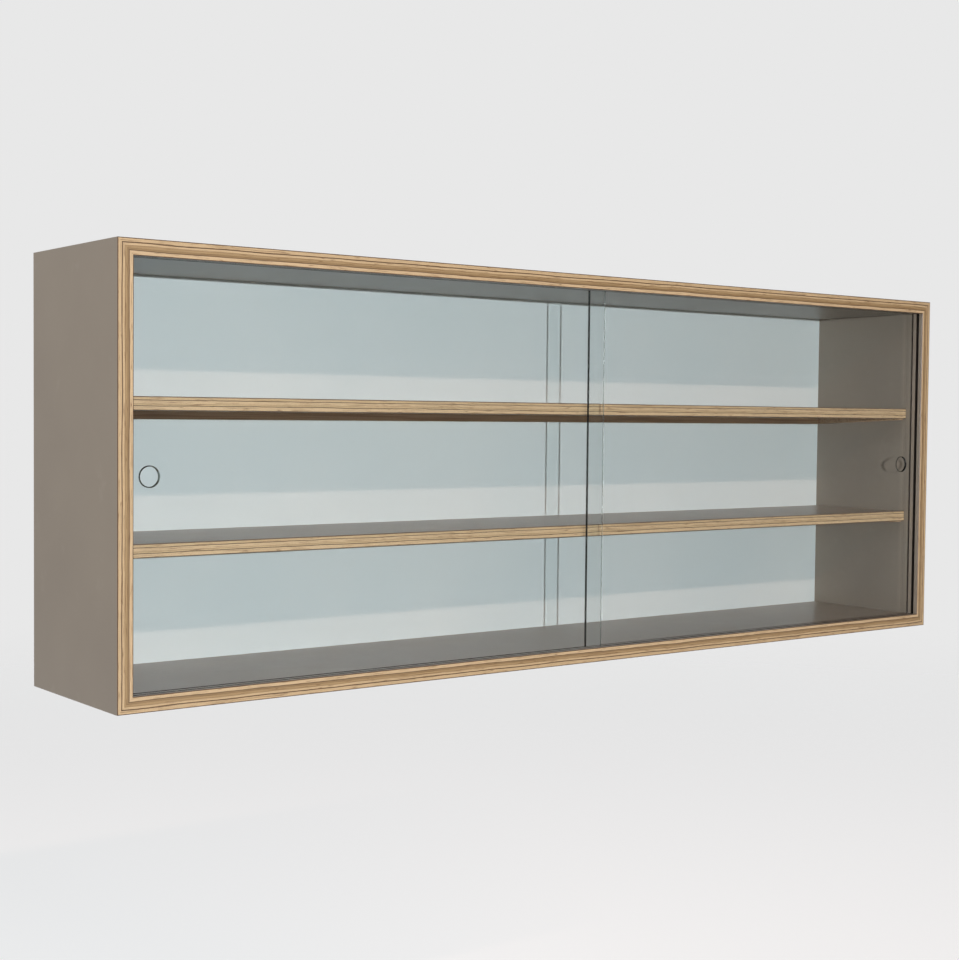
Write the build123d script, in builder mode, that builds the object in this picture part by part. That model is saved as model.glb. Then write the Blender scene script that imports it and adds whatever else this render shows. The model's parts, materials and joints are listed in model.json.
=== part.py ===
from build123d import *
import os

# Wall mounted showcase: a mitred, laminate-faced plywood case with two shelves, closed by two
# frameless glass doors that slide past each other in routed grooves, and hung on a bevelled rail.
#
# Frame: X to the right, Y into the wall, Z up. Y = 0 is the wall plane, so the case stands at
# negative Y. X = 0 is the middle of the case and Z = 0 the line of screws in the wall rail.

# ---------------------------------------------------------------- driving dimensions (mm)

width = 1400.0
height = 520.0
depth = 235.0
screw_line_height = 415.0  # screws of the wall rail above the underside of the case

board = 19.0  # carcass board, laminates included
shelf_board = 16.0
laminate = 1.0
arris = 0.4  # broken edge along the front of every laminate

shelf_setback = 31.0  # shelf front behind the front of the case
shelf_pitch = 165.0  # from the inside floor to the top of the lower shelf, and on to the upper one
shelf_end_gap = 0.3

back_panel_thickness = 6.0
recess = 14.0  # space behind the back panel, which takes the two rails
back_groove_depth = 7.0
back_panel_play = 0.3

glass = 4.0
pane_arris = 0.5
front_track = 9.0  # middle of each track behind the front of the case
rear_track = 20.0
groove_width = 5.0
side_groove_depth = 7.0
bottom_groove_depth = 6.0
top_groove_depth = 12.0  # deep enough to lift a pane up and out
glide_strip_thickness = 2.0
pane_play = 0.5  # pane to the floor of a side groove
pane_lift_gap = 0.1
pane_top_engagement = 6.0
pane_overlap = 20.0
finger_hole_radius = 11.2
finger_hole_to_side = 22.6  # hole centre to the inside face of the side
finger_hole_rim = 1.2

bearer_width = 10.0
bearer_height = 10.0
bearer_front_height = 2.0
bearer_setback = 37.0

rail_thickness = 12.0
rail_height = 60.0
rail_gap = 2.0  # wall rail to back panel, and hanging rail to wall
wall_rail_length = 1300.0
wall_rail_top = 451.0  # above the underside of the case, at the rail's front face
wall_hole_radius = 2.75
wall_hole_sink_radius = 5.5
wall_holes_x = (-550.0, -200.0, 200.0, 550.0)

biscuit_length = 47.0
biscuit_width = 15.0
biscuit_thickness = 4.0
biscuit_share = 0.62  # place along the mitre, from the outer corner to the inner one
biscuits_behind_front = (60.0, 118.0, 175.0)

rail_dowel_radius = 3.0
rail_dowel_length = 30.0
dowel_chamfer = 0.6
top_dowel_in_top = 12.0
side_dowel_in_side = 12.0
top_dowels_x = (-600.0, -360.0, -120.0, 120.0, 360.0, 600.0)
side_dowels_below_top = (14.0, 34.0)

bearer_dowel_radius = 2.0
bearer_dowel_length = 16.0
bearer_dowel_in_side = 9.0
bearer_dowels_behind_front = (140.0, 200.0)

screw_shank_radius = 1.5
screw_head_radius = 2.8
screw_head_depth = 1.6
screw_point = 2.5
screw_recess_width = 0.8
screw_recess_span = 3.0
screw_recess_depth = 1.0
rear_screw_length = 14.0
rear_screws_x = (-600.0, -360.0, -120.0, 120.0, 360.0, 600.0)

# ---------------------------------------------------------------- derived faces

left = -width / 2
right = width / 2
front = -depth
low = -screw_line_height
high = low + height
inside_left = left + board
inside_right = right - board
inside_low = low + board
inside_high = high - board

back_face = -recess - back_panel_thickness  # front face of the back panel
back_rear = -recess
shelf_front = front + shelf_setback
shelf_tops = {
    "lower": inside_low + shelf_pitch,
    "upper": inside_low + 2 * shelf_pitch,
}
bearer_front = front + bearer_setback
rear_bearer_front = back_face - bearer_width
pane_low = inside_low - bottom_groove_depth + glide_strip_thickness + pane_lift_gap
pane_high = inside_high + pane_top_engagement
pane_left = inside_left - side_groove_depth + pane_play
pane_width = (-2 * pane_left + pane_overlap) / 2

SIDES = ("left", "right", "top", "bottom")
os.makedirs("parts", exist_ok=True)


def save(part, label):
    part.label = label
    export_step(part, f"parts/{label}.step")


# ---------------------------------------------------------------- loose pieces that boards are cut for


def corner_planes():
    """One plane per biscuit, lying in the biscuit, its X along the case's depth."""
    for sign_x, corner_x in ((1, left), (-1, right)):
        for sign_z, corner_z in ((1, low), (-1, high)):
            x = corner_x + sign_x * board * biscuit_share
            z = corner_z + sign_z * board * biscuit_share
            for behind in biscuits_behind_front:
                yield Plane(origin=(x, front + behind, z), x_dir=(0, 1, 0), z_dir=(sign_x, 0, sign_z))


with BuildPart() as corner_biscuits:
    for plane in corner_planes():
        with BuildSketch(plane):
            SlotOverall(biscuit_length, biscuit_width)
        extrude(amount=biscuit_thickness / 2, both=True)
save(corner_biscuits.part, "corner_biscuits")


def dowels(planes, radius, length):
    """Round dowels with chamfered ends, one from each start plane."""
    with BuildPart() as pins:
        for plane in planes:
            with BuildSketch(plane):
                Circle(radius)
            extrude(amount=length)
        chamfer(pins.edges().filter_by(GeomType.CIRCLE), dowel_chamfer)
    return pins.part


def rail_dowel_planes():
    """Start plane of each dowel of the hanging rail: down from the top board, in from the sides."""
    y = back_rear + rail_thickness / 2
    for x in top_dowels_x:
        yield Plane(origin=(x, y, inside_high + top_dowel_in_top), x_dir=(1, 0, 0), z_dir=(0, 0, -1))
    for below in side_dowels_below_top:
        z = inside_high - below
        yield Plane(origin=(inside_left - side_dowel_in_side, y, z), x_dir=(0, 1, 0), z_dir=(1, 0, 0))
        yield Plane(origin=(inside_right + side_dowel_in_side, y, z), x_dir=(0, 1, 0), z_dir=(-1, 0, 0))


hanging_rail_dowels = dowels(rail_dowel_planes(), rail_dowel_radius, rail_dowel_length)
save(hanging_rail_dowels, "hanging_rail_dowels")


def shelf_underside(level):
    return shelf_tops[level] - shelf_board


def bearer_height_at(behind):
    """Height of a side bearer at a distance behind the front of the case."""
    share = (behind - bearer_setback) / (back_face - bearer_front)
    return bearer_front_height + (bearer_height - bearer_front_height) * share


def bearer_dowel_planes():
    """Start plane of each dowel between a side of the case and a side bearer."""
    for level in shelf_tops:
        for behind in bearer_dowels_behind_front:
            y = front + behind
            z = shelf_underside(level) - bearer_height_at(behind) / 2
            start = inside_left - bearer_dowel_in_side
            yield Plane(origin=(start, y, z), x_dir=(0, 1, 0), z_dir=(1, 0, 0))
            yield Plane(origin=(-start, y, z), x_dir=(0, 1, 0), z_dir=(-1, 0, 0))


side_bearer_dowels = dowels(bearer_dowel_planes(), bearer_dowel_radius, bearer_dowel_length)
save(side_bearer_dowels, "side_bearer_dowels")


def screw_blank(length):
    """A countersunk wood screw along -Z, its head flush with Z = 0."""
    with BuildPart() as blank:
        with BuildSketch(Plane.XZ):
            with BuildLine():
                Polyline(
                    (0, 0),
                    (screw_head_radius, 0),
                    (screw_shank_radius, -screw_head_depth),
                    (screw_shank_radius, -length + screw_point),
                    (0, -length),
                    close=True,
                )
            make_face()
        revolve(axis=Axis.Z)
    return blank.part


def screw_recess():
    """The cross that the driver fits, cut down from Z = 0."""
    with BuildPart() as recess_cut:
        with BuildSketch(Plane.XY.offset(-screw_recess_depth)):
            Rectangle(screw_recess_span, screw_recess_width)
            Rectangle(screw_recess_width, screw_recess_span)
        extrude(amount=screw_recess_depth)
    return recess_cut.part


def rear_screw_locations():
    """Heads on the rear face of the back panel, points into the rear bearers."""
    for level in shelf_tops:
        z = shelf_underside(level) - bearer_height / 2
        for x in rear_screws_x:
            yield Plane(origin=(x, back_rear, z), x_dir=(1, 0, 0), z_dir=(0, 1, 0)).location


rear_screw_blank = screw_blank(rear_screw_length)
recess_shape = screw_recess()

with BuildPart() as rear_bearer_screw_blanks:
    with Locations(*rear_screw_locations()):
        add(rear_screw_blank)

with BuildPart() as rear_bearer_screws:
    add(rear_bearer_screw_blanks.part)
    with Locations(*rear_screw_locations()):
        add(recess_shape, mode=Mode.SUBTRACT)
save(rear_bearer_screws.part, "rear_bearer_screws")

# ---------------------------------------------------------------- grooves routed round the carcass


def groove(near, far, side_depth, bottom_depth, top_depth):
    """A slab as large as the groove's floors, between two distances behind the front."""
    with BuildPart() as slab:
        with BuildSketch(Plane.XZ.offset(depth - near)):
            with Locations((0, (inside_low - bottom_depth + inside_high + top_depth) / 2)):
                Rectangle(
                    inside_right - inside_left + 2 * side_depth,
                    inside_high - inside_low + bottom_depth + top_depth,
                )
        extrude(amount=near - far)
    return slab.part


def door_groove(track):
    return groove(
        track - groove_width / 2,
        track + groove_width / 2,
        side_groove_depth,
        bottom_groove_depth,
        top_groove_depth,
    )


grooves = [
    door_groove(front_track),
    door_groove(rear_track),
    groove(depth + back_face, depth + back_rear, back_groove_depth, back_groove_depth, back_groove_depth),
]

# ---------------------------------------------------------------- carcass boards


def mitred_outline(side, outer, inner):
    """Corners, in X and Z, of one side of the frame between two insets from the outside."""
    outer_box = (left + outer, right - outer, low + outer, high - outer)
    inner_box = (left + inner, right - inner, low + inner, high - inner)

    def pick(box, corners):
        x_low, x_high, z_low, z_high = box
        places = {
            "low_left": (x_low, z_low),
            "low_right": (x_high, z_low),
            "high_left": (x_low, z_high),
            "high_right": (x_high, z_high),
        }
        return [places[corner] for corner in corners]

    ends = {
        "left": ("low_left", "high_left"),
        "right": ("low_right", "high_right"),
        "bottom": ("low_left", "low_right"),
        "top": ("high_left", "high_right"),
    }[side]
    return pick(outer_box, ends) + pick(inner_box, reversed(ends))


def front_edge(part, side, outermost):
    """The long front edge of a carcass laminate, on the outside or the inside of the case."""
    along = Axis.Z if side in ("left", "right") else Axis.X
    across = Axis.X if side in ("left", "right") else Axis.Z
    edges = part.edges().group_by(Axis.Y)[0].filter_by(along).sort_by(across)
    first = (side in ("left", "bottom")) == outermost
    return edges[0] if first else edges[-1]


for side in SIDES:
    with BuildPart() as core:
        with BuildSketch(Plane.XZ):
            Polygon(*mitred_outline(side, laminate, board - laminate))
        extrude(amount=depth)
        for slab in grooves:
            add(slab, mode=Mode.SUBTRACT)
        add(corner_biscuits.part, mode=Mode.SUBTRACT)
        add(hanging_rail_dowels, mode=Mode.SUBTRACT)
        add(side_bearer_dowels, mode=Mode.SUBTRACT)
    save(core.part, f"{side}_board_core")

    with BuildPart() as outer_laminate:
        with BuildSketch(Plane.XZ):
            Polygon(*mitred_outline(side, 0, laminate))
        extrude(amount=depth)
        chamfer(front_edge(outer_laminate, side, True), arris)
    save(outer_laminate.part, f"{side}_outer_laminate")

    with BuildPart() as inner_laminate:
        with BuildSketch(Plane.XZ):
            Polygon(*mitred_outline(side, board - laminate, board))
        extrude(amount=depth)
        chamfer(front_edge(inner_laminate, side, False), arris)
        for slab in grooves:
            add(slab, mode=Mode.SUBTRACT)
        add(hanging_rail_dowels, mode=Mode.SUBTRACT)
        add(side_bearer_dowels, mode=Mode.SUBTRACT)
    save(inner_laminate.part, f"{side}_inner_laminate")

# ---------------------------------------------------------------- back panel

with BuildPart() as back_panel:
    with BuildSketch(Plane.XZ.offset(-back_rear)):
        with Locations((0, (inside_low + inside_high) / 2)):
            Rectangle(
                inside_right - inside_left + 2 * (back_groove_depth - back_panel_play),
                inside_high - inside_low + 2 * (back_groove_depth - back_panel_play),
            )
    extrude(amount=back_panel_thickness)
    add(rear_bearer_screw_blanks.part, mode=Mode.SUBTRACT)
save(back_panel.part, "back_panel")

# ---------------------------------------------------------------- shelves

shelf_length = inside_right - inside_left - 2 * shelf_end_gap
shelf_depth = back_face - shelf_front


def shelf_layer(underside, thickness):
    """One full-size layer of a shelf, lying on the level it is given."""
    with BuildPart() as layer:
        with BuildSketch(Plane.XY.offset(underside)):
            with Locations((0, (shelf_front + back_face) / 2)):
                Rectangle(shelf_length, shelf_depth)
        extrude(amount=thickness)
    return layer


def break_front_edge(layer, face_up):
    """Chamfer the front edge of a laminate on its outer face."""
    edges = layer.edges().filter_by(Axis.X).group_by(Axis.Y)[0].sort_by(Axis.Z)
    with layer:
        chamfer(edges[-1] if face_up else edges[0], arris)


for level, top in shelf_tops.items():
    underside = shelf_underside(level)

    shelf_core = shelf_layer(underside + laminate, shelf_board - 2 * laminate)
    save(shelf_core.part, f"{level}_shelf_core")

    top_laminate = shelf_layer(top - laminate, laminate)
    break_front_edge(top_laminate, True)
    save(top_laminate.part, f"{level}_shelf_top_laminate")

    bottom_laminate = shelf_layer(underside, laminate)
    break_front_edge(bottom_laminate, False)
    save(bottom_laminate.part, f"{level}_shelf_bottom_laminate")

# ---------------------------------------------------------------- shelf bearers

for level in shelf_tops:
    underside = shelf_underside(level)

    for side, x_start in (("left", inside_left), ("right", inside_right - bearer_width)):
        with BuildPart() as side_bearer:
            with BuildSketch(Plane.YZ.offset(x_start)):
                Polygon(
                    (bearer_front, underside),
                    (bearer_front, underside - bearer_front_height),
                    (back_face, underside - bearer_height),
                    (back_face, underside),
                )
            extrude(amount=bearer_width)
            add(side_bearer_dowels, mode=Mode.SUBTRACT)
        save(side_bearer.part, f"{level}_shelf_{side}_bearer")

    with BuildPart() as rear_bearer:
        with BuildSketch(Plane.YZ.offset(inside_left + bearer_width)):
            Polygon(
                (rear_bearer_front, underside),
                (rear_bearer_front, underside - bearer_height),
                (back_face, underside - bearer_height),
                (back_face, underside),
            )
        extrude(amount=inside_right - inside_left - 2 * bearer_width)
        add(rear_bearer_screw_blanks.part, mode=Mode.SUBTRACT)
    save(rear_bearer.part, f"{level}_shelf_rear_bearer")

# ---------------------------------------------------------------- hanging rail and wall rail

wall_rail_front = -rail_thickness
wall_rail_high = low + wall_rail_top
hanging_rail_rear = back_rear + rail_thickness
hanging_bevel_high = wall_rail_high + rail_gap

with BuildPart() as hanging_rail:
    with BuildSketch(Plane.YZ.offset(inside_left)):
        Polygon(
            (back_rear, inside_high),
            (back_rear, hanging_bevel_high),
            (hanging_rail_rear, hanging_bevel_high - rail_thickness),
            (hanging_rail_rear, inside_high),
        )
    extrude(amount=inside_right - inside_left)
    add(hanging_rail_dowels, mode=Mode.SUBTRACT)
save(hanging_rail.part, "hanging_rail")

with BuildPart() as wall_rail:
    with BuildSketch(Plane.YZ.offset(-wall_rail_length / 2)):
        Polygon(
            (wall_rail_front, wall_rail_high),
            (wall_rail_front, wall_rail_high - rail_height),
            (0, wall_rail_high - rail_height),
            (0, wall_rail_high - rail_thickness),
        )
    extrude(amount=wall_rail_length)
    with Locations(Plane.XZ.offset(rail_thickness)):
        with Locations(*[(x, 0) for x in wall_holes_x]):
            CounterSinkHole(wall_hole_radius, wall_hole_sink_radius)
save(wall_rail.part, "wall_rail")

# ---------------------------------------------------------------- glide strips

for name, track in (("front", front_track), ("rear", rear_track)):
    with BuildPart() as glide_strip:
        with BuildSketch(Plane.XY.offset(inside_low - bottom_groove_depth)):
            with Locations((0, front + track)):
                Rectangle(inside_right - inside_left + 2 * side_groove_depth, groove_width)
        extrude(amount=glide_strip_thickness)
    save(glide_strip.part, f"bottom_{name}_glide_strip")

# ---------------------------------------------------------------- glass doors


def glass_door(x_start, track, hole_x):
    """A pane with seamed edges and a ground round finger hole."""
    with BuildPart() as door:
        with BuildSketch(Plane.XZ.offset(depth - track - glass / 2)):
            with Locations((x_start + pane_width / 2, (pane_low + pane_high) / 2)):
                Rectangle(pane_width, pane_high - pane_low)
            with Locations((hole_x, low + height / 2)):
                Circle(finger_hole_radius, mode=Mode.SUBTRACT)
        extrude(amount=glass)
        rims = door.edges().filter_by(GeomType.CIRCLE)
        chamfer(rims, finger_hole_rim)
        borders = door.faces().sort_by(Axis.Y)
        chamfer(borders[0].outer_wire().edges(), pane_arris)
        borders = door.faces().sort_by(Axis.Y)
        chamfer(borders[-1].outer_wire().edges(), pane_arris)
    return door.part


left_hole_x = inside_left + finger_hole_to_side
right_hole_x = inside_right - finger_hole_to_side
save(glass_door(pane_left, front_track, left_hole_x), "left_glass_door")
save(glass_door(-pane_left - pane_width, rear_track, right_hole_x), "right_glass_door")
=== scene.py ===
"""Wall mounted showcase: finishes, glass, floor, light and camera around the CAD model.

The frame, in metres: X to the right, Y into the wall, Z up. Y = 0 is the wall plane and Z = 0 the
line of screws in the wall rail. The case hangs in front of the wall, at negative Y.
"""

import json
import math

import bpy
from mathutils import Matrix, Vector


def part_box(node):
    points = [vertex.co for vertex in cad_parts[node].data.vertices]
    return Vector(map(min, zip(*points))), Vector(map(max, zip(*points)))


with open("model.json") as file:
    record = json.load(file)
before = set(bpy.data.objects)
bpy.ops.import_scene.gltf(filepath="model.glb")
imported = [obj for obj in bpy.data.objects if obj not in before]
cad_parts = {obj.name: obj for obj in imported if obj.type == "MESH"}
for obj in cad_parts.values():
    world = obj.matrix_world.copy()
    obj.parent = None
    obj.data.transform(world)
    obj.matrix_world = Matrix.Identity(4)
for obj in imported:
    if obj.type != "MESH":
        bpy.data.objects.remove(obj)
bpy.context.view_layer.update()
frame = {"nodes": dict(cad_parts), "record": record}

nodes = frame["nodes"]
slot_of = {part["node"]: part["material_slot"] for part in frame["record"]["subparts"]}
MM = 0.001

# ---------------------------------------------------------------- shader arithmetic


def tone(red, green, blue):
    """Linear colour of a chip given in the usual steps from 0 to 255."""
    steps = (red / 255, green / 255, blue / 255)
    linear = [((s + 0.055) / 1.055) ** 2.4 if s > 0.04045 else s / 12.92 for s in steps]
    return (*linear, 1.0)


class Reading:
    """A socket that takes part in sums: each operator adds its Math node."""

    def __init__(self, finish, socket):
        self.finish = finish
        self.socket = socket

    def __add__(self, other):
        return self.finish.math("ADD", self, other)

    __radd__ = __add__

    def __sub__(self, other):
        return self.finish.math("SUBTRACT", self, other)

    def __rsub__(self, other):
        return self.finish.math("SUBTRACT", other, self)

    def __mul__(self, other):
        return self.finish.math("MULTIPLY", self, other)

    __rmul__ = __mul__

    def __truediv__(self, other):
        return self.finish.math("DIVIDE", self, other)

    def __abs__(self):
        return self.finish.math("ABSOLUTE", self)

    def __gt__(self, other):
        return self.finish.math("GREATER_THAN", self, other)

    def rise(self, start, end):
        """0 below start, 1 above end, and smooth in between. Falls if end is the lower one."""
        settings = {"interpolation_type": "SMOOTHSTEP"}
        inputs = {"Value": self, "From Min": start, "From Max": end}
        return self.finish.node("ShaderNodeMapRange", settings, inputs)


class Finish:
    """The nodes of one material or world, added by type, and the patterns that finishes share."""

    def __init__(self, owner):
        self.owner = owner
        owner.use_nodes = True
        self.tree = owner.node_tree
        self.tree.nodes.clear()

    def node(self, kind, settings=None, inputs=None, output=0):
        made = self.tree.nodes.new(kind)
        for key, value in (settings or {}).items():
            if key == "stops":
                self.set_stops(made.color_ramp, value)
            else:
                setattr(made, key, value)
        for key, value in (inputs or {}).items():
            if isinstance(value, Reading):
                self.tree.links.new(value.socket, made.inputs[key])
            else:
                made.inputs[key].default_value = value
        return Reading(self, made.outputs[output]) if len(made.outputs) else made

    @staticmethod
    def set_stops(ramp, stops):
        while len(ramp.elements) > 1:
            ramp.elements.remove(ramp.elements[-1])
        ramp.elements[0].position, ramp.elements[0].color = stops[0]
        for position, colour in stops[1:]:
            ramp.elements.new(position).color = colour

    def math(self, operation, *terms):
        return self.node("ShaderNodeMath", {"operation": operation}, dict(enumerate(terms)))

    def place(self):
        """Place on the piece, in metres."""
        return self.node("ShaderNodeTexCoord", output="Object")

    def facing(self):
        """The way the surface faces, as its three parts."""
        return self.parts(self.node("ShaderNodeNewGeometry", output="Normal"))

    def parts(self, vector):
        first = self.node("ShaderNodeSeparateXYZ", inputs={0: vector}, output="X")
        split = first.socket.node
        return first, Reading(self, split.outputs["Y"]), Reading(self, split.outputs["Z"])

    def vector(self, x, y, z):
        return self.node("ShaderNodeCombineXYZ", inputs={0: x, 1: y, 2: z})

    def stretched(self, point, per_x, per_y, per_z, shift=0.0):
        """The place with its own scale along each axis, for grain and brushed marks."""
        inputs = {"Vector": point, "Scale": (per_x, per_y, per_z), "Location": (shift,) * 3}
        return self.node("ShaderNodeMapping", inputs=inputs)

    def noise(self, point, scale=1.0, detail=2.0, roughness=0.5):
        inputs = {"Vector": point, "Scale": scale, "Detail": detail, "Roughness": roughness}
        return self.node("ShaderNodeTexNoise", inputs=inputs)

    def mix(self, share, first, second, blend="MIX"):
        settings = {"data_type": "RGBA", "blend_type": blend}
        return self.node("ShaderNodeMix", settings, {0: share, 6: first, 7: second}, output=2)

    def ramp(self, value, stops):
        return self.node("ShaderNodeValToRGB", {"stops": stops}, {0: value})

    def shaded(self, colour, factor):
        """A colour made lighter or darker by a factor that varies over the surface."""
        return self.mix(1.0, colour, self.vector(factor, factor, factor), blend="MULTIPLY")

    def in_tracks(self, y):
        """1 within the depth that the two door grooves take up, 0 elsewhere."""
        behind = (y - case_front) / MM
        entering = behind.rise(TRACKS_START - TRACKS_BLEND, TRACKS_START + TRACKS_BLEND)
        leaving = behind.rise(TRACKS_END + TRACKS_BLEND, TRACKS_END - TRACKS_BLEND)
        return entering * leaving

    def relief(self, height, distance, strength):
        inputs = {"Height": height, "Distance": distance, "Strength": strength}
        return self.node("ShaderNodeBump", inputs=inputs)

    def surface(self, colour, roughness, normal=None, **fixed):
        inputs = {"Base Color": colour, "Roughness": roughness}
        inputs.update({name.replace("_", " "): value for name, value in fixed.items()})
        if normal is not None:
            inputs["Normal"] = normal
        return self.node("ShaderNodeBsdfPrincipled", inputs=inputs)

    def done(self, shader, output="ShaderNodeOutputMaterial"):
        self.node(output, inputs={"Surface": shader})
        return self.owner


def new_finish(name):
    return Finish(bpy.data.materials.new(name))


# ---------------------------------------------------------------- places on the case

case_low, case_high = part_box("left_outer_laminate")[0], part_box("right_outer_laminate")[1]
case_front = case_low.y
board_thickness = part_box("left_inner_laminate")[1].x - case_low.x

# Depth that the door grooves take up behind the case's front, in mm, and the blend at each end.
TRACKS_START = 6.0
TRACKS_END = 23.0
TRACKS_BLEND = 0.2

# ---------------------------------------------------------------- laminate and plywood

# Near black drawn over the walls of the door grooves, darker than the board's own core.
GROOVE_NEAR_BLACK = tone(30, 25, 20)


def laminate():
    """Matt grey-beige laminate, with its brown core showing wherever the sheet is cut."""
    f = new_finish("grey_beige_laminate")
    point = f.place()
    _, y, _ = f.parts(point)
    _, normal_y, _ = f.facing()
    cut = abs(normal_y).rise(0.35, 0.6)

    clouds = f.noise(point, 5.0, detail=3.0)
    speckle = f.noise(point, 1400.0)
    rubbed = f.noise(f.stretched(point, 22.0, 22.0, 22.0, shift=3.7), detail=4.0, roughness=0.7)
    face = f.mix(clouds.rise(0.3, 0.7), tone(127, 117, 106), tone(133, 123, 111))
    face = f.shaded(face, 0.94 + 0.12 * speckle)
    face = f.mix(0.10 * rubbed.rise(0.58, 0.75), face, tone(176, 168, 158))

    layers = f.noise(point, 900.0, detail=3.0)
    core = f.mix(layers, tone(72, 54, 39), tone(100, 78, 56))
    # Within the door grooves the cut core is drawn near black.
    core = f.mix(f.in_tracks(y), core, GROOVE_NEAR_BLACK)
    colour = f.mix(cut, face, core)

    roughness = 0.26 + 0.07 * clouds + 0.08 * rubbed
    stipple = f.noise(point, 2300.0) + 0.35 * f.noise(point, 600.0, detail=1.0)
    normal = f.relief(stipple, 0.06 * MM, strength=0.5)
    return f.done(f.surface(colour, roughness, normal, Specular_IOR_Level=0.46))


# Veneers across a board: where each band ends, in mm from the outer face, and its chip.
LIGHT_VENEER = (189, 166, 131)
PALE_VENEER = (194, 171, 137)
MIDDLE_VENEER = (156, 133, 97)
BROWN_VENEER = (137, 114, 81)
GLUE_LINE = (70, 51, 30)
CASE_VENEERS = (
    (4.8, LIGHT_VENEER),
    (6.0, GLUE_LINE),
    (8.4, LIGHT_VENEER),
    (9.2, BROWN_VENEER),
    (11.2, MIDDLE_VENEER),
    (13.4, BROWN_VENEER),
    (14.3, GLUE_LINE),
    (19.0, PALE_VENEER),
)
SHELF_VENEERS = (
    (3.6, LIGHT_VENEER),
    (4.5, GLUE_LINE),
    (8.0, PALE_VENEER),
    (8.7, MIDDLE_VENEER),
    (10.0, LIGHT_VENEER),
    (11.0, GLUE_LINE),
    (16.0, PALE_VENEER),
)

# How the bands blend into each other, in mm.
THIN_BAND = 1.0
THIN_BAND_BLEND = 0.22
BAND_BLEND = 0.12
LEAST_FLAT = 0.05

STREAK_BROWN = tone(136, 104, 66)
HAIRLINE_BROWN = tone(104, 76, 45)
PORE_BROWN = tone(96, 70, 42)

# How far in from a case board's outer face the near black of the grooves starts, in mm.
GROOVE_DARK_START = 6.0


def veneer_stops(veneers, thickness):
    """Ramp stops with a short blend from each band to the next."""
    stops, start = [], 0.0
    for end, chip in veneers:
        blend = BAND_BLEND if end - start > THIN_BAND else THIN_BAND_BLEND
        flat_start = start + blend
        flat_end = max(end - blend, flat_start + LEAST_FLAT)
        stops.append((flat_start / thickness, tone(*chip)))
        stops.append((flat_end / thickness, tone(*chip)))
        start = end
    return stops


def plywood(name, across, origin, sign, along, veneers, thickness, grooved):
    """Lacquered plywood edge: veneers across the board, each wavy and streaked along it."""
    f = new_finish(name)
    x, y, z = f.parts(f.place())
    axes = {"x": x, "z": z}
    layer = (axes[across] - origin) * (sign / MM)
    run = axes[along]

    swell = f.noise(f.vector(run * 9.0, y * 9.0, 0.0))
    ripple = f.noise(f.vector(run * 34.0, y * 20.0, layer * 0.12))
    depth_in = layer + 2.2 * (swell - 0.5) + 1.3 * (ripple - 0.5)
    bands = f.ramp(depth_in / thickness, veneer_stops(veneers, thickness))

    streak_place = f.vector(run * 26.0, y * 90.0, depth_in * 1.9)
    streaks = f.noise(streak_place, detail=4.0, roughness=0.62)
    fibres = f.noise(f.vector(run * 110.0, y * 400.0, depth_in * 6.0))
    pores = f.noise(f.vector(run * 420.0, y * 600.0, depth_in * 5.0), detail=1.0)
    colour = f.shaded(bands, 0.44 + 0.88 * streaks + 0.24 * fibres)
    colour = f.mix(0.7 * streaks.rise(0.56, 0.7), colour, STREAK_BROWN)
    course = f.noise(f.vector(run * 11.0, y * 30.0, depth_in * 0.5))
    hairline = abs(course - 0.5).rise(0.022, 0.006) * streaks.rise(0.34, 0.5)
    colour = f.mix(0.75 * hairline, colour, HAIRLINE_BROWN)
    colour = f.mix(0.5 * pores.rise(0.62, 0.75), colour, PORE_BROWN)

    warm = f.noise(f.vector(run * 3.0, y * 3.0, 7.0), detail=1.0)
    colour = f.mix(0.35 * warm, colour, f.shaded(colour, 0.90))
    # Near black drawn over the plywood within the door grooves.
    if grooved:
        colour = f.mix(f.in_tracks(y) * (depth_in > GROOVE_DARK_START), colour, GROOVE_NEAR_BLACK)

    roughness = 0.46 + 0.2 * fibres - 0.08 * warm
    grain_height = 0.6 * streaks + 0.4 * fibres - 0.5 * pores.rise(0.6, 0.8)
    normal = f.relief(grain_height, 0.12 * MM, strength=0.6)
    return f.done(f.surface(colour, roughness, normal, Coat_Weight=0.18, Coat_Roughness=0.3))


def case_plywood(side):
    across, origin, sign, along = {
        "left": ("x", case_low.x, 1, "z"),
        "right": ("x", case_high.x, -1, "z"),
        "top": ("z", case_high.z, -1, "x"),
        "bottom": ("z", case_low.z, 1, "x"),
    }[side]
    name, thickness = f"plywood_{side}_board", board_thickness / MM
    return plywood(name, across, origin, sign, along, CASE_VENEERS, thickness, grooved=True)


def shelf_plywood(level):
    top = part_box(f"{level}_shelf_top_laminate")[1].z
    thickness = (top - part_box(f"{level}_shelf_bottom_laminate")[0].z) / MM
    name = f"plywood_{level}_shelf"
    return plywood(name, "z", top, -1, "x", SHELF_VENEERS, thickness, grooved=False)


# ---------------------------------------------------------------- back board, battens and rails


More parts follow.
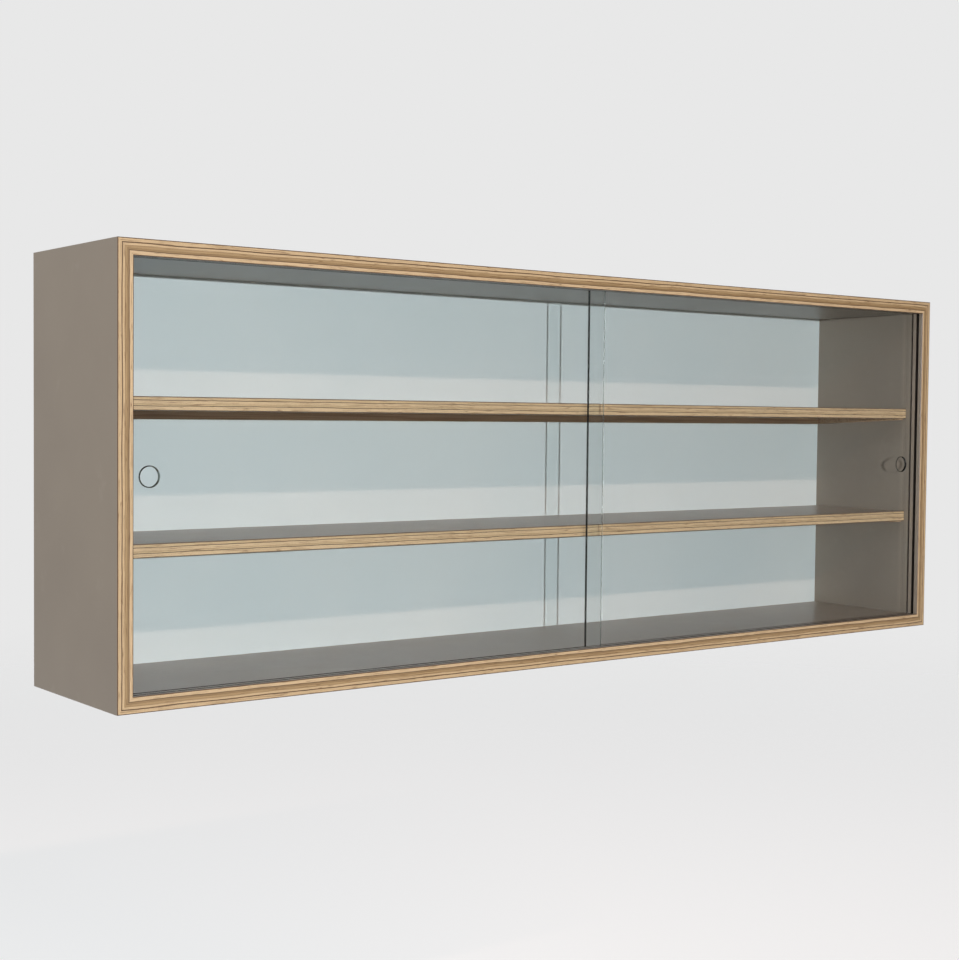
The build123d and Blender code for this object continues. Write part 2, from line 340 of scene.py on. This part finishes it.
def back_board():
    """Thin board with a white satin coat in front and raw pressed fibre behind."""
    f = new_finish("white_back_board")
    point = f.place()
    _, normal_y, _ = f.facing()
    coated = normal_y.rise(0.2, -0.2)

    clouds = f.noise(point, 3.0, detail=3.0)
    flow = f.noise(f.stretched(point, 160.0, 160.0, 420.0))
    dust = f.noise(point, 34.0, detail=5.0, roughness=0.7)
    white = f.mix(clouds.rise(0.3, 0.7), tone(204, 215, 219), tone(209, 218, 221))
    white = f.mix(0.10 * dust.rise(0.55, 0.8), white, tone(188, 192, 188))

    fibre = f.noise(f.stretched(point, 900.0, 900.0, 1500.0), detail=4.0, roughness=0.7)
    fleck = f.noise(point, 260.0, detail=3.0)
    raw = f.mix(fibre, tone(128, 96, 64), tone(174, 140, 102))
    raw = f.mix(0.4 * fleck.rise(0.58, 0.7), raw, tone(92, 66, 42))
    colour = f.mix(coated, raw, white)

    roughness = 0.82 - coated * (0.42 - 0.1 * clouds)
    height = coated * flow * 0.25 + (1.0 - coated) * fibre
    normal = f.relief(height, 0.09 * MM, strength=0.6)
    return f.done(f.surface(colour, roughness, normal, Specular_IOR_Level=0.4))


def oiled_batten():
    """Planed and oiled softwood batten: straight grain with brown lines of late wood."""
    f = new_finish("bearer_batten")
    point = f.place()
    grain = f.noise(f.stretched(point, 26.0, 700.0, 700.0), detail=3.0)
    late_wood = f.noise(f.stretched(point, 5.0, 330.0, 330.0, shift=2.0))
    clouds = f.noise(point, 14.0)
    colour = f.mix(clouds, tone(184, 153, 122), tone(194, 163, 131))
    colour = f.mix(0.55 * late_wood.rise(0.5, 0.62), colour, tone(146, 110, 78))
    colour = f.shaded(colour, 0.9 + 0.2 * grain)
    normal = f.relief(grain, 0.08 * MM, strength=0.5)
    return f.done(f.surface(colour, 0.55 + 0.2 * grain, normal, Specular_IOR_Level=0.3))


# Thickness of one ply of the rails, in mm.
RAIL_PLY = 1.4


def rail_plywood():
    """Sanded plywood rail: rotary-cut figure on its faces and thin plies on its edges."""
    f = new_finish("rail_plywood")
    point = f.place()
    x, y, z = f.parts(point)
    _, normal_y, _ = f.facing()
    face = abs(normal_y).rise(0.8, 0.95)

    drift = f.noise(f.vector(x * 2.2, 3.0, z * 9.0))
    rings = f.node(
        "ShaderNodeTexWave",
        {"wave_type": "BANDS", "bands_direction": "Z"},
        {
            "Vector": f.vector(x * 0.9, 0.0, z * 24.0 + 3.2 * drift),
            "Scale": 1.0,
            "Distortion": 2.4,
            "Detail": 2.0,
            "Detail Scale": 1.4,
        },
    )
    fibre = f.noise(f.stretched(point, 30.0, 900.0, 900.0), detail=3.0)
    figured = f.mix(rings, tone(214, 180, 134), tone(192, 154, 106))
    figured = f.shaded(figured, 0.88 + 0.24 * fibre)

    ply = f.math("PINGPONG", y / MM + RAIL_PLY / 2, RAIL_PLY) / RAIL_PLY
    waver = f.noise(f.vector(x * 60.0, y * 60.0, z * 60.0)) - 0.5
    crossed = (ply + 0.25 * waver).rise(0.4, 0.6)
    ends = f.noise(f.vector(x * 700.0, y * 900.0, z * 700.0))
    edges = f.mix(crossed, tone(210, 176, 130), tone(156, 116, 74))
    edges = f.shaded(edges, 0.82 + 0.36 * ends)

    colour = f.mix(face, edges, figured)
    normal = f.relief(fibre * face + ends * (1.0 - face), 0.1 * MM, strength=0.6)
    return f.done(f.surface(colour, 0.6 + 0.16 * fibre, normal))


def beech():
    """Raw beech with its short dark flecks."""
    f = new_finish("beech")
    point = f.place()
    grain = f.noise(f.stretched(point, 400.0, 120.0, 400.0), detail=3.0)
    flecks = f.noise(f.stretched(point, 900.0, 260.0, 900.0, shift=5.0), detail=1.0)
    colour = f.mix(grain, tone(204, 164, 122), tone(222, 186, 146))
    colour = f.mix(0.6 * flecks.rise(0.6, 0.72), colour, tone(150, 104, 68))
    normal = f.relief(grain, 0.08 * MM, strength=0.6)
    return f.done(f.surface(colour, 0.62 + 0.12 * grain, normal))


# ---------------------------------------------------------------- screws, glide strips and glass


def zinc():
    """Zinc-plated steel with a faint yellow and blue passivation."""
    f = new_finish("zinc_steel")
    point = f.place()
    patches = f.noise(point, 320.0, detail=3.0)
    marks = f.noise(point, 2600.0)
    passivation = (
        (0.35, tone(206, 204, 192)),
        (0.5, tone(196, 200, 204)),
        (0.65, tone(214, 206, 178)),
    )
    colour = f.shaded(f.ramp(patches, passivation), 0.88 + 0.2 * marks)
    normal = f.relief(marks, 0.02 * MM, strength=0.6)
    return f.done(f.surface(colour, 0.26 + 0.22 * patches, normal, Metallic=1.0))


def glide_plastic():
    """Near-black moulded strip, polished in lines where the glass has run along it."""
    f = new_finish("dark_glide_plastic")
    point = f.place()
    lines = f.noise(f.stretched(point, 4.0, 3200.0, 60.0))
    haze = f.noise(point, 40.0)
    colour = f.mix(0.5 * haze + 0.2 * lines, tone(30, 28, 26), tone(58, 54, 49))
    normal = f.relief(lines, 0.03 * MM, strength=0.6)
    return f.done(f.surface(colour, 0.3 + 0.25 * lines, normal))


def glass():
    """Clear float glass, greener and darker at its ground edges.

    Shadows and bounced light pass straight through a face, but not through an edge.
    """
    f = new_finish("clear_glass")
    point = f.place()
    _, normal_y, _ = f.facing()
    edge = abs(normal_y).rise(0.95, 0.75)

    handled = f.noise(point, 24.0, detail=4.0, roughness=0.7)
    ground = f.noise(point, 900.0)
    tint = f.mix(edge, tone(253, 255, 255), tone(96, 110, 104))
    roughness = 0.006 * handled + edge * (0.03 + 0.04 * ground)
    pane = f.surface(tint, roughness, Transmission_Weight=1.0, IOR=1.52)

    shadow_ray = f.node("ShaderNodeLightPath", output="Is Shadow Ray")
    bounced_ray = Reading(f, shadow_ray.socket.node.outputs["Is Diffuse Ray"])
    passing = f.math("MAXIMUM", shadow_ray, bounced_ray) * (1.0 - edge)
    clear = f.node("ShaderNodeBsdfTransparent", inputs={"Color": tone(250, 252, 252)})
    return f.done(f.node("ShaderNodeMixShader", inputs={0: passing, 1: pane, 2: clear}))


# ---------------------------------------------------------------- finishes onto the pieces

FINISHES = {
    "grey_beige_laminate": laminate(),
    "white_back_board": back_board(),
    "bearer_batten": oiled_batten(),
    "rail_plywood": rail_plywood(),
    "beech": beech(),
    "zinc_steel": zinc(),
    "dark_glide_plastic": glide_plastic(),
    "clear_glass": glass(),
}
BOARD_FINISHES = {
    f"{side}_board_core": case_plywood(side) for side in ("left", "right", "top", "bottom")
}
BOARD_FINISHES.update(
    {f"{level}_shelf_core": shelf_plywood(level) for level in ("lower", "upper")}
)

for name, thing in nodes.items():
    finish = BOARD_FINISHES.get(name) or FINISHES[slot_of[name]]
    for material_slot in thing.material_slots:
        material_slot.link = "OBJECT"
        material_slot.material = finish

bpy.ops.object.select_all(action="DESELECT")

# ---------------------------------------------------------------- floor and studio

# In metres: how far below the case the floor is, its size, and the ring in which it fades out.
FLOOR_DROP = 1.05
FLOOR_RADIUS = 14.0
FLOOR_FADE = (3.0, 9.0)

bpy.ops.mesh.primitive_circle_add(
    vertices=96,
    radius=FLOOR_RADIUS,
    fill_type="NGON",
    location=(0, 0, case_low.z - FLOOR_DROP),
)
floor = bpy.context.object
floor.name = "floor"


def floor_finish():
    """Plain pale floor that fades into the studio's own pale grey far away.

    From below it is clear, so that it never hides the underside of the case.
    """
    f = new_finish("pale_floor")
    point = f.place()
    away = f.node("ShaderNodeVectorMath", {"operation": "LENGTH"}, {0: point}, output="Value")
    grain = f.noise(point, 60.0, detail=3.0)
    colour = f.mix(grain, tone(226, 226, 226), tone(229, 229, 229))
    glow = {"Emission_Color": tone(255, 255, 255), "Emission_Strength": 0.47}
    solid = f.surface(colour, 0.8, Specular_IOR_Level=0.1, **glow)
    clear = f.node("ShaderNodeBsdfTransparent")
    from_below = f.node("ShaderNodeNewGeometry", output="Backfacing")
    open_share = f.math("MAXIMUM", from_below, away.rise(*FLOOR_FADE))
    return f.done(f.node("ShaderNodeMixShader", inputs={0: open_share, 1: solid, 2: clear}))


floor.data.materials.append(floor_finish())
# The studio's fill already stands for the light that the floor throws back at the case.
floor.visible_diffuse = False


def studio():
    """Pale grey wherever the camera looks, and soft fill light from all round.

    The fill is warmer from below than from above, weaker from the right and bright from the wall.
    """
    f = Finish(bpy.data.worlds.new("studio"))
    to_right, to_wall, up = f.parts(f.node("ShaderNodeTexCoord", output="Generated"))
    from_right = to_right.rise(-0.2, 0.7) * to_wall.rise(0.3, -0.3)
    fill = f.mix(up.rise(-0.5, 0.7), tone(170, 160, 146), tone(140, 146, 152))
    fill = f.mix(0.75 * from_right, fill, tone(60, 62, 64))
    fill = f.mix(0.85 * to_wall.rise(0.15, 0.85), fill, tone(214, 212, 207))
    seen = f.node("ShaderNodeLightPath", output="Is Camera Ray")
    room = f.mix(seen, fill, tone(232, 232, 232))
    background = f.node("ShaderNodeBackground", inputs={"Color": room, "Strength": 1.0})
    return f.done(background, output="ShaderNodeOutputWorld")


bpy.context.scene.world = studio()

# ---------------------------------------------------------------- lamps and camera


def lamp(kind, name, energy, colour, place, target, **sizes):
    bpy.ops.object.light_add(type=kind, location=place)
    made = bpy.context.object
    made.name = name
    made.data.energy = energy
    made.data.color = colour
    for key, value in sizes.items():
        setattr(made.data, key, value)
    made.rotation_mode = "QUATERNION"
    made.rotation_quaternion = (Vector(target) - Vector(place)).to_track_quat("-Z", "Y")


lamp(
    "POINT",
    "key_lamp",
    energy=540.0,
    colour=(0.99, 1.0, 1.0),
    place=(-1.79, -4.10, 0.142),
    target=(0, 0, 0),
    shadow_soft_size=0.012,
)
lamp(
    "AREA",
    "overhead_strip",
    energy=134.0,
    colour=(1.0, 0.66, 0.52),
    place=(-0.3, -6.1, 3.29),
    target=(0, -0.1, -0.15),
    shape="RECTANGLE",
    size=3.9,
    size_y=0.075,
)
lamp(
    "AREA",
    "left_softbox",
    energy=30.0,
    colour=(1.0, 0.97, 0.97),
    place=(-2.8, -0.5, 1.4),
    target=(-0.7, -0.12, -0.1),
    shape="RECTANGLE",
    size=1.6,
    size_y=1.2,
)

CAMERA_PLACE = (-1.4424, -1.8549, -0.0858)
CAMERA_TURN = tuple(math.radians(degrees) for degrees in (87.756, -0.544, -37.317))
SENSOR_WIDTH = 36.0
LENS = 60.22

bpy.ops.object.camera_add(location=CAMERA_PLACE, rotation=CAMERA_TURN)
camera = bpy.context.object
camera.data.sensor_width = SENSOR_WIDTH
camera.data.lens = LENS
bpy.context.scene.camera = camera
bpy.context.scene.view_settings.view_transform = "Standard"
